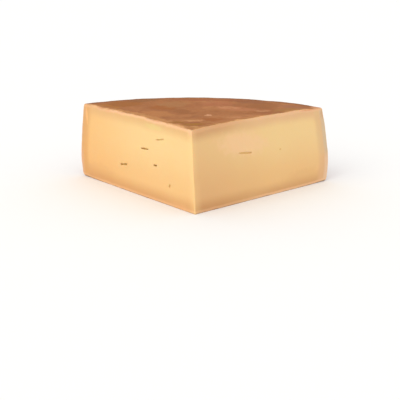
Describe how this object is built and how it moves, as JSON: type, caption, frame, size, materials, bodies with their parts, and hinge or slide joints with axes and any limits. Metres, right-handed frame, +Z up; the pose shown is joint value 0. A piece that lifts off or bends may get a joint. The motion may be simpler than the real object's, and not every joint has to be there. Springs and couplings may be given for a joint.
{
  "type": "bagoss cheese wedge",
  "caption": "Quarter of a wheel of hard aged mountain cheese: straight cut faces with small slits, swollen rind side, flat base.",
  "frame": {"origin": "middle of the bounding box of the wedge, at its flat base", "axes": "+Z up from the base to the top rind, +Y from the knife point to the middle of the curved rind, +X to the right as seen looking along +Y"},
  "size_m": [0.3396, 0.2394, 0.1035],
  "materials": {
    "cheese": "straw-yellow paste with a faint greasy sheen on the cut faces, under an oiled ochre-brown rind"
  },
  "bodies": {
    "root": {"cheese_wedge": "cheese"}
  },
  "joints": []
}
